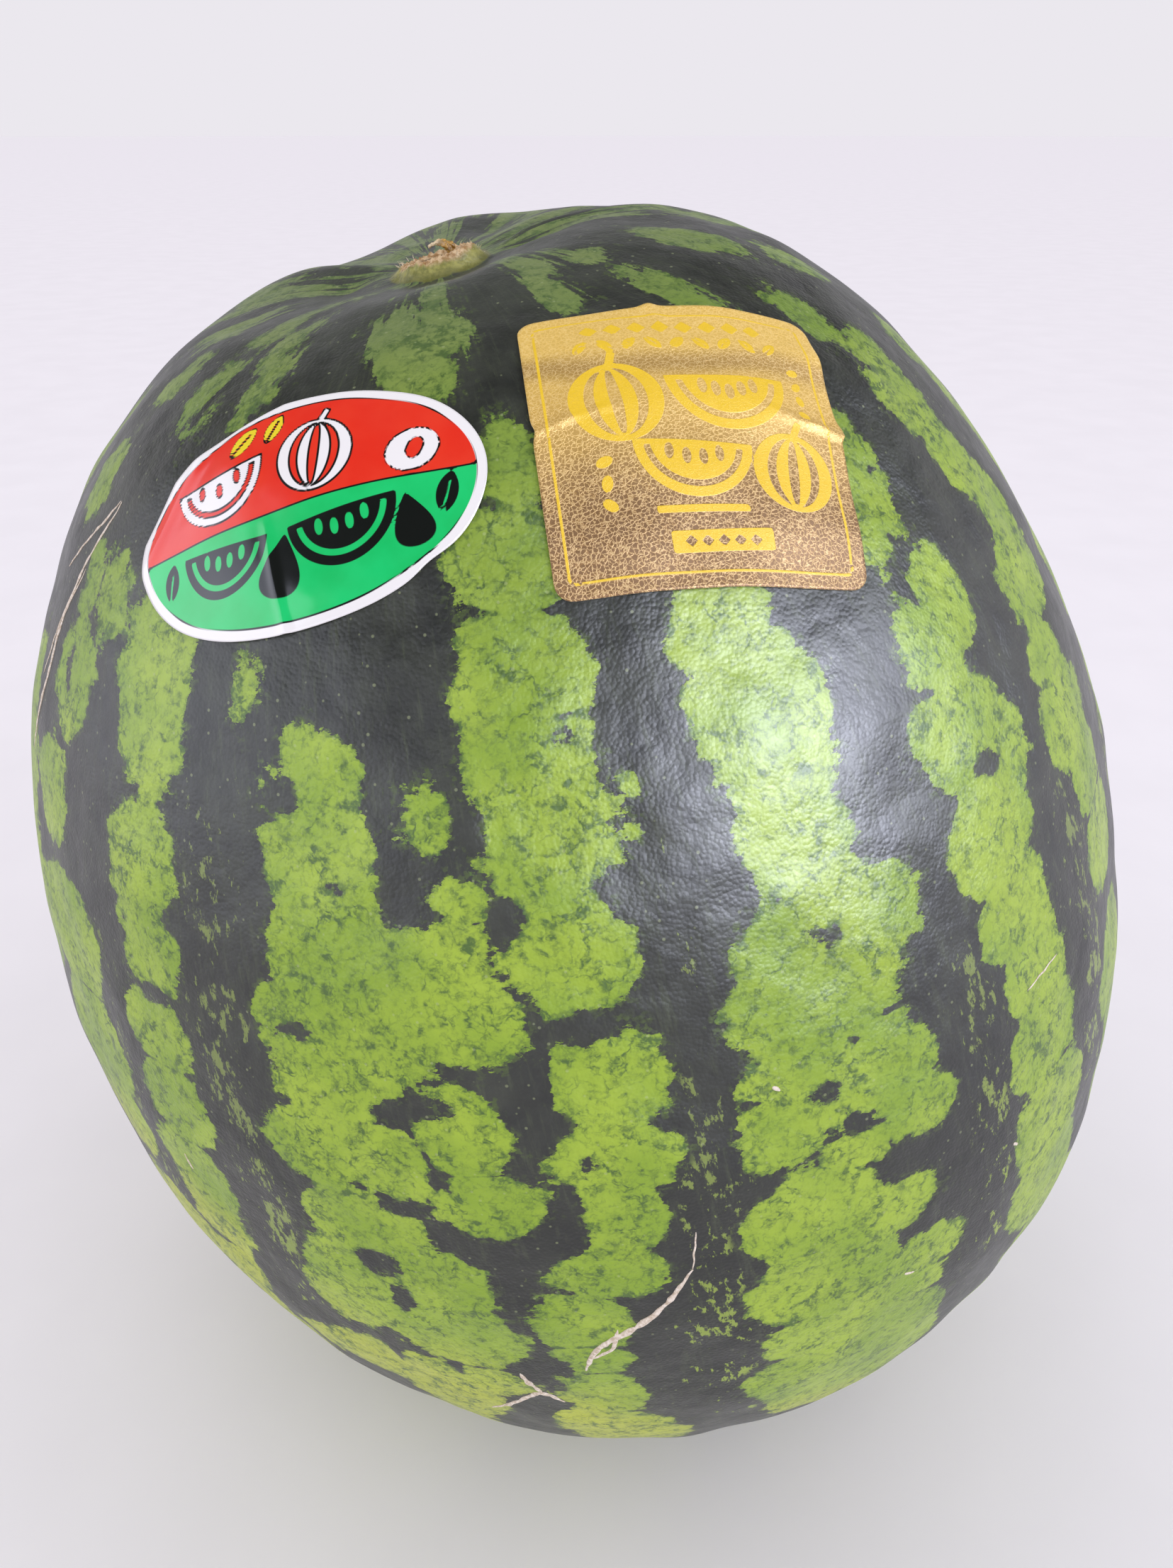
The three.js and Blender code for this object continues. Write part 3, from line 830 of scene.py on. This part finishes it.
def square_reach(turn):
    """A rectangle with rounded corners, bulged by the fold at the top and the crease at the right."""
    wide, high = SQUARE_HALF
    c, s = np.abs(np.cos(turn)), np.abs(np.sin(turn))
    flat_side = np.minimum(wide / np.maximum(c, 1e-6), high / np.maximum(s, 1e-6))
    cx, cy = wide - SQUARE_CORNER, high - SQUARE_CORNER
    along = cx * c + cy * s
    across = cx**2 + cy**2 - SQUARE_CORNER**2
    rounded = along + np.sqrt(np.maximum(along**2 - across, 0))
    at_corner = (flat_side * c > cx) & (flat_side * s > cy)
    reach = np.where(at_corner, rounded, flat_side)
    degrees = np.degrees(turn)
    top_fold = 0.35 * hump(degrees, 96, 5)
    push = 0.9 * hump(degrees, 4, 3)
    notch = -0.5 * hump(degrees, 178, 3)
    return reach + top_fold + push + notch


def crease_distance(flat):
    """Height above the buckle that runs across the gold sticker in a shallow arch."""
    u, v = flat[..., 0], flat[..., 1]
    return v - 0.6 - 4.3 * (1 - (u / SQUARE_HALF[0]) ** 2)


def square_ripple(flat):
    u, v = flat[..., 0], flat[..., 1]
    away = crease_distance(flat)
    sides = np.clip((np.abs(u - 1) - 8) / 12, 0, 1)
    uneven = 0.75 + 0.25 * np.sin(0.9 * u + 1)
    buckle = 0.5 * hump(away, 0, 0.8) * sides * uneven + 0.3 * hump(away, 0, 5)
    crinkle = 0.3 * hump(away - 0.1 * u, -2.6, 0.8) * np.clip((u - 10) / 10, 0, 1)
    top_fold = 0.5 * hump(u + 0.25 * (v - 26), -2.6, 1.3) * np.clip((v - 16) / 11, 0, 1) ** 1.5
    band = 0.5 * hump(v, 16.5, 3.2)
    bend = 0.3 * hump(v, -17, 5)
    edge = np.maximum(np.abs(u) / SQUARE_HALF[0], np.abs(v) / SQUARE_HALF[1])
    loose = 0.3 * np.clip((edge - 0.86) / 0.14, 0, 1) ** 2 * (0.5 + 0.5 * np.sin(4 * np.arctan2(v, u) + 2))
    return buckle + crinkle + top_fold + band + bend + loose


def square_prints(flat):
    """The gold sticker's yellow ink: a frame, rows of small marks, four fruits with a bar, and a plate."""
    frame_line = np.abs(bar(flat, (0, 0), (23.2, 24.2), 0, 0.8)) - 0.24
    marks = [bar(flat, (u, 21.0), (1.15, 1.15), 45) for u in np.arange(-14, 14.1, 4)]
    for i, u in enumerate(np.arange(-16, 16.1, 4)):
        marks.append(leaf_shape(flat, (u, 16.8), 3.6, 50 - 100 * (i % 2)))
    marks += [oval(flat, (19.4, 12.4 - 3 * i), (1.1, 0.75), 50 * i) for i in range(4)]
    marks += [oval(flat, (-15.2, -5.6 - 3.6 * i), (1.4, 0.9), 60 * i + 20) for i in range(3)]
    big = [
        melon_shape(flat, (-11.8, 5.2), 7.6, 4),
        slice_shape(flat, (6.6, 9.8), 10.2, 2, 5),
        slice_shape(flat, (-0.8, -2.6), 9.6, -3, 4),
        bar(flat, (-0.8, -14.0), (7.4, 0.6)),
        melon_shape(flat, (15.4, -7.4), 6.9, -6),
    ]
    plate = cut(
        bar(flat, (1.6, -19.2), (8.2, 1.8), 1, 0.4),
        *[bar(flat, (1.6 + 2.6 * i, -19.2), (0.7, 0.7), 45) for i in (-2, -1, 0, 1, 2)],
    )
    return {"yellow_ink": -joined(frame_line, plate, *marks, *big)}


def ink(g, name, blur=0.07):
    return g.between(g.stored(name), -blur, blur)


def vinyl_material():
    g = Graph("printed_vinyl")
    flat = g.stored("print_place", "Vector")
    parts = g.parts(flat)
    upper = g.between(parts["Y"], -0.05, 0.05)
    spot = g.place()
    wear = g.between(g.noise(spot, 7, 3), -1, 1)
    red = g.mix(wear, "#ec2c14", "#f03a20")
    green = g.mix(wear, "#0fc765", "#18d574")
    field = g.mix(upper, green, red)
    white = "#f7f6f6"
    colour = g.mix(ink(g, "field_ink"), white, field)
    colour = g.mix(ink(g, "white_ink"), colour, white)
    colour = g.mix(ink(g, "yellow_ink"), colour, "#f4e02c")
    colour = g.mix(ink(g, "black_ink"), colour, "#101511")
    colour = g.mix(parts["Z"], "#dedbd3", colour)
    height = g.add(g.waver(0.03, spot, 11, 2), g.waver(0.003, spot, 2.5, 2))
    rough = g.add(0.17, g.waver(0.03, spot, 5, 3))
    return g.finish(
        Base_Color=colour, Roughness=rough, Normal=g.bump(height), Coat_Weight=0.3, Coat_Roughness=0.08
    )


def foil_material():
    g = Graph("gold_foil")
    flat = g.stored("print_place", "Vector")
    parts = g.parts(flat)
    spot = g.place()
    pebbles = g.cells(g.warp(spot, 0.8, 0.25), 0.68, "DISTANCE_TO_EDGE")
    coarse = g.noise(spot, 1.5, 2, 0.6)
    # Painted reflection: lighter gold at the top and darker gold towards the bottom stand in for the room's
    # light on a metal foil.
    down = g.between(g.add(parts["Y"], g.waver(2, spot, 14, 1)), 8, -17)
    gold = g.mix(g.between(parts["Y"], 20, 2), "#fcd368", "#e6bd5e")
    gold = g.mix(down, gold, "#a8804a")
    band_shape = g.size(g.add(parts["Y"], g.waver(1.2, spot, 20, 1), -13.0))
    gold = g.mix(g.times(g.between(band_shape, 4.2, 0.2), 0.6), gold, "#8e6838")
    # Painted shade in the low cells of the foil's emboss, more of it towards the bottom, and a painted glint
    # on the raised ridges between them.
    painted_pit_shade = g.between(g.add(pebbles, g.times(coarse, 0.05)), 0.05, 0.2)
    gold = g.mix(g.times(painted_pit_shade, g.add(0.14, g.times(down, 0.5))), gold, "#644727")
    ridge_and_glint = g.between(pebbles, 0.1, 0.0)
    gold = g.mix(g.times(ridge_and_glint, 0.4), gold, "#ffe6a8")
    yellow = ink(g, "yellow_ink")
    colour = g.mix(yellow, gold, "#f4cb04")
    colour = g.mix(parts["Z"], "#d9d2c4", colour)
    metal = g.times(g.math("SUBTRACT", 1.0, g.times(yellow, 0.85)), parts["Z"], 0.2)
    rough = g.add(0.46, g.times(coarse, 0.06), g.times(yellow, 0.04))
    height = g.add(g.times(ridge_and_glint, 0.02), g.times(coarse, 0.012), g.times(yellow, 0.03))
    height = g.add(height, g.waver(0.04, spot, 8, 2))
    return g.finish(Base_Color=colour, Metallic=metal, Roughness=rough, Normal=g.bump(height))


# ---- the dry stub, fibres and scars


def tube(path, widths, heights, side, sides=10):
    """Points and faces of a closed tube along path; side is where its width points."""
    ahead = unit(np.gradient(path, axis=0))
    side = unit(side - ahead * (side * ahead).sum(-1, keepdims=True))
    over = np.cross(ahead, side)
    turn = np.arange(sides) * 2 * np.pi / sides
    ring = np.cos(turn)[None, :, None] * side[:, None] * widths[:, None, None]
    ring = ring + np.sin(turn)[None, :, None] * over[:, None] * heights[:, None, None]
    points = (path[:, None] + ring).reshape(-1, 3)
    faces = []
    for r in range(len(path) - 1):
        a, b = r * sides, (r + 1) * sides
        faces += [(a + i, a + (i + 1) % sides, b + (i + 1) % sides, b + i) for i in range(sides)]
    first, last = len(points), len(points) + 1
    tail = (len(path) - 1) * sides
    faces += [(first, (i + 1) % sides, i) for i in range(sides)]
    faces += [(last, tail + i, tail + (i + 1) % sides) for i in range(sides)]
    return np.concatenate([points, path[:1], path[-1:]]), faces


def joined_mesh(name, pieces):
    points, faces, start = [], [], 0
    for piece_points, piece_faces in pieces:
        points.append(piece_points)
        faces += [tuple(i + start for i in face) for face in piece_faces]
        start += len(piece_points)
    return make_mesh(name, np.concatenate(points), faces)


def smooth_path(stops, count):
    """Count points on a smooth curve through the stops."""
    stops = np.array(stops, float)
    at = np.linspace(0, len(stops) - 1, count)
    out = []
    for t in at:
        i = min(int(t), len(stops) - 2)
        f = t - i
        p0, p1, p2, p3 = (stops[min(max(k, 0), len(stops) - 1)] for k in (i - 1, i, i + 1, i + 2))
        curve = 2 * p1 + (p2 - p0) * f + (2 * p0 - 5 * p1 + 4 * p2 - p3) * f**2
        out.append((curve + (3 * p1 - p0 - 3 * p2 + p3) * f**3) / 2)
    return np.array(out)


STEM_FLOOR = float(body_radius(direction(0, 0)))


def stub_mesh():
    """The dried stalk end: a neck out of the pit, a hood hooked to the left and a curl at the right."""
    across = np.array([0.0, 1.0, 0.0])
    neck = [(3.0, 0.2, 0.4), (2.9, 0.1, 1.9), (2.7, 0, 3.1)]
    hood = [(2.0, -0.1, 4.1), (0.7, -0.2, 4.6), (-1.1, -0.3, 4.2)]
    hook = smooth_path(neck + hood, 36)
    curl = smooth_path([(2.2, 0.1, 3.6), (2.9, -0.1, 4.0), (3.6, -0.2, 3.6), (3.8, -0.2, 2.9)], 20)
    along = np.linspace(0, 1, 36)
    hook_wide = np.interp(along, [0, 0.25, 0.5, 0.75, 1], [1.5, 1.0, 1.25, 1.15, 0.35])
    hook_high = np.interp(along, [0, 0.25, 0.5, 0.75, 1], [1.3, 0.7, 0.75, 0.5, 0.2])
    curl_wide = np.interp(np.linspace(0, 1, 20), [0, 0.5, 1], [1.0, 0.8, 0.3])
    curl_high = curl_wide * 0.45
    pieces = []
    for path, wide, high in ((hook, hook_wide, hook_high), (curl, curl_wide, curl_high)):
        side = np.broadcast_to(across, path.shape)
        points, faces = tube(path + [0, 0, STEM_FLOOR], wide, high, side, 14)
        pieces.append((place(points), faces))
    made = joined_mesh("dry_stalk_stub", pieces)
    remesh = made.modifiers.new("join", "REMESH")
    remesh.mode = "VOXEL"
    remesh.voxel_size = 0.13 * MM
    remesh.use_smooth_shade = True
    bpy.context.view_layer.update()
    final = bpy.data.meshes.new_from_object(made.evaluated_get(bpy.context.evaluated_depsgraph_get()))
    made.modifiers.clear()
    made.data = final
    count = len(final.vertices)
    spots = np.zeros(count * 3)
    final.vertices.foreach_get("co", spots)
    normals = np.zeros(count * 3)
    final.vertices.foreach_get("normal", normals)
    spots, normals = spots.reshape(-1, 3) / MM, normals.reshape(-1, 3)
    own = (spots - SEAT) @ LEAN
    wrinkles = 0.16 * waves(own * [1, 1, 0.35], 1.1, 31) + 0.1 * waves(own, 0.6, 32)
    spots += normals * wrinkles[:, None]
    final.vertices.foreach_set("co", (spots * MM).ravel())
    return made


def stub_material():
    g = Graph("dry_stalk")
    spot = g.place()
    fibre = g.noise(g.stretch(spot, (1, 1, 0.4)), 0.8, 3, 0.6)
    colour = g.mix(g.between(fibre, -0.8, 0.8), "#7c5a1c", "#d0a23c")
    # Painted highlight: the left end of the stub is painted pale where the light catches it.
    left = g.between(g.parts(spot)["X"], -31.2, -33.2)
    colour = g.mix(g.times(left, 0.8), colour, "#ecdcb8")
    height = g.add(g.times(fibre, 0.06), g.waver(0.03, spot, 0.4, 2))
    return g.finish(Base_Color=colour, Roughness=g.add(0.62, g.times(fibre, 0.08)), Normal=g.bump(height))


def fibre_mesh():
    """Dry fibres that stand up from the two ends of the scar's rim."""
    random = np.random.default_rng(5)
    pieces = []
    for _ in range(46):
        side = random.choice([-90, 90])
        azimuth = side + random.normal(0, 34)
        radius = random.uniform(5.2, 8.6)
        out = direction(90, azimuth)
        foot = out * radius + [0, 0, STEM_FLOOR + np.interp(radius, [5, 7, 9], [2.4, 2.2, 0.6])]
        rise = unit(out * random.uniform(0.2, 1.6) + [0, 0, 1] + random.normal(0, 0.35, 3))
        length = random.uniform(0.5, 1.3)
        bend = random.normal(0, 0.3, 3)
        t = np.linspace(0, 1, 6)[:, None]
        path = foot + rise * length * t + bend * t**2
        thick = np.linspace(0.09, 0.02, 6)
        points, faces = tube(path, thick, thick, np.broadcast_to(direction(90, azimuth + 90), path.shape), 5)
        pieces.append((place(points), faces))
    return joined_mesh("scar_fibres", pieces)


# Healed scratches: azimuth and polar angle of the points each one follows, and its width in mm.
SCARS = [
    ([(8, 90), (4, 94.5), (-1, 98.5), (-3, 102)], 1.25),
    ([(1, 96), (0, 98.5), (-2, 100)], 0.75),
    ([(8, 90), (9, 86)], 0.35),
    ([(-15, 113), (-10, 108.5), (-8, 107), (-6.5, 109)], 1.25),
    ([(-8, 107), (-9, 103)], 1.1),
    ([(-52.5, 31), (-58, 38.5), (-60.5, 47), (-64, 53)], 0.8),
    ([(-53, 31), (-58, 34), (-63, 37.5)], 0.6),
    ([(-56, 36.5), (-59.5, 41), (-62, 46)], 0.5),
    ([(41, 80), (46, 80)], 0.35),
    ([(-39, 84), (-39, 86)], 0.5),
    ([(25, 100.5), (26, 101)], 0.6),
    ([(37, 93.5), (37.5, 94)], 0.8),
    ([(17, 75), (17.5, 75.5)], 0.6),
]


def scar_mesh():
    """Thin corky ridges that follow the rind and taper at both ends."""
    pieces = []
    for number, (stops, width) in enumerate(SCARS):
        count = 10 * len(stops)
        path = smooth_path(stops, count)
        d = direction(path[:, 1], path[:, 0])
        smooth = body_point(d)
        relief = rind_relief(path[:, 1], path[:, 0], d, smooth)
        normal = body_normal(d)
        sideways = unit(np.cross(normal, np.gradient(smooth, axis=0)))
        wander = 0.2 * waves(smooth, 3.2, 60 + number)
        centre = smooth + d * relief[:, None] + sideways * wander[:, None] + normal * 0.02
        taper = np.sin(np.pi * np.linspace(0.03, 0.97, count)) ** 0.6
        swell = 1 + 0.35 * waves(smooth, 2.2, 80 + number)
        wide = 0.5 * width * taper * swell
        points, faces = tube(centre, wide, wide * 0.5, sideways, 10)
        pieces.append((place(points), faces))
    return joined_mesh("healed_scratches", pieces)


def cork_material(name, dark, pale):
    g = Graph(name)
    spot = g.place()
    grain = g.noise(spot, 0.9, 3, 0.7)
    colour = g.mix(g.between(grain, -0.8, 0.7), dark, pale)
    height = g.times(grain, 0.05)
    return g.finish(Base_Color=colour, Roughness=g.add(0.7, g.times(grain, 0.07)), Normal=g.bump(height))


# ---- camera, floor and light

CAMERA_PLACE = (-4.1, -258.4, 306.2)
CAMERA_PITCH = 60.72
LENS = 27.02
# The point on the shoulder, in mm, that the lights face.
LIT_SHOULDER = (36, -98, 222)
LIGHT_COLOUR = (0.8, 0.83, 1.0)


def set_camera():
    data = bpy.data.cameras.new("camera")
    data.lens = LENS
    data.sensor_width = 36
    data.clip_start = 0.01
    camera = bpy.data.objects.new("camera", data)
    camera.location = Vector(CAMERA_PLACE) * MM
    camera.rotation_euler = (math.radians(CAMERA_PITCH), 0, 0)
    bpy.context.scene.collection.objects.link(camera)
    bpy.context.scene.camera = camera


def set_floor():
    """A wide flat disc of rings that grow outward."""
    radii = [200, 600, 1500, 4000, 12000, 40000]
    sides = 64
    turn = np.arange(sides) * 2 * np.pi / sides
    points = [(0, 0, 0)]
    for radius in radii:
        points += [(radius * math.cos(t), radius * math.sin(t), 0) for t in turn]
    floor = make_mesh("floor", np.array(points, float), disc_faces(len(radii), sides))
    g = Graph("pale_floor")
    spot = g.place()
    tone = g.mix(g.between(g.noise(spot, 60, 3), -1, 1), "#f0eef1", "#f3f1f4")
    height = g.waver(0.01, spot, 3, 2)
    pale = g.finish(Base_Color=tone, Roughness=0.85, Normal=g.bump(height), Specular_IOR_Level=0.1)
    floor.data.materials.append(pale)


def soft_light(name, azimuth, elevation, distance, size, power, glossy_only=True):
    """A soft box that faces the fruit's shoulder, at an azimuth and an elevation above the floor."""
    toward = Vector(direction(90 - elevation, azimuth).tolist())
    data = bpy.data.lights.new(name, "AREA")
    data.shape = "RECTANGLE"
    data.size, data.size_y = size
    data.energy = power
    data.color = LIGHT_COLOUR
    lamp = bpy.data.objects.new(name, data)
    lamp.location = Vector(LIT_SHOULDER) * MM + toward * distance
    lamp.rotation_euler = toward.to_track_quat("Z", "Y").to_euler()
    lamp.visible_diffuse = not glossy_only
    lamp.visible_glossy = glossy_only
    bpy.context.scene.collection.objects.link(lamp)


def set_world():
    """A plain pale room. Gloss sees it bright near the horizon only; the fill is a little brighter than what
    the camera sees, so that the lit floor meets the background without a line."""
    world = bpy.data.worlds.new("pale_room")
    world.use_nodes = True
    nodes, links = world.node_tree.nodes, world.node_tree.links
    up = nodes.new("ShaderNodeSeparateXYZ")
    links.new(nodes.new("ShaderNodeTexCoord").outputs["Generated"], up.inputs[0])
    wall = nodes.new("ShaderNodeMapRange")
    wall.interpolation_type = "SMOOTHSTEP"
    for key, value in {"From Min": 0.62, "From Max": 0.25, "To Min": 0.1, "To Max": 0.85}.items():
        wall.inputs[key].default_value = value
    links.new(up.outputs["Z"], wall.inputs["Value"])
    ray = nodes.new("ShaderNodeLightPath").outputs
    fill = nodes.new("ShaderNodeMix")
    fill.inputs["A"].default_value = 1.0
    fill.inputs["B"].default_value = 1.19
    links.new(ray["Is Diffuse Ray"], fill.inputs["Factor"])
    choose = nodes.new("ShaderNodeMix")
    links.new(ray["Is Glossy Ray"], choose.inputs["Factor"])
    links.new(fill.outputs[0], choose.inputs["A"])
    links.new(wall.outputs[0], choose.inputs["B"])
    sky = nodes["Background"]
    sky.inputs["Color"].default_value = paint("#ebe8ee")
    links.new(choose.outputs[0], sky.inputs["Strength"])
    bpy.context.scene.world = world


def set_light():
    set_world()
    soft_light("key", 46, 30, 1.2, (0.6, 0.6), 1.7, glossy_only=False)
    soft_light("window", 44.5, 24, 1.2, (0.32, 0.4), 14)
    soft_light("wall_glow", 50, 27, 1.2, (1.9, 0.8), 40)
    soft_light("left_glow", -72, 12, 1.4, (1.8, 1.2), 12)
    bpy.context.scene.view_settings.view_transform = "Standard"


# ---- the object

set_camera()
set_floor()
set_light()


def add_piece(piece, material, replaced=None):
    piece.data.materials.append(material)
    if replaced:
        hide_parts(replaced)
    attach(piece, "root")


add_piece(fruit_mesh(), rind_material(), "fruit")
oval_axes = sticker_axes(*OVAL_PLACE)
square_axes = sticker_axes(*SQUARE_PLACE)
oval_sticker = sticker_mesh("oval_sticker", oval_axes, oval_reach, oval_ripple, oval_prints)
square_sticker = sticker_mesh("gold_sticker", square_axes, square_reach, square_ripple, square_prints)
add_piece(oval_sticker, vinyl_material(), "oval_label")
add_piece(square_sticker, foil_material(), "square_label")
add_piece(stub_mesh(), stub_material(), "stem_stub")
add_piece(fibre_mesh(), cork_material("dry_fibre", "#b9a77a", "#ece3c8"))
add_piece(scar_mesh(), cork_material("scar_cork", "#c2ae94", "#f3e7d8"))
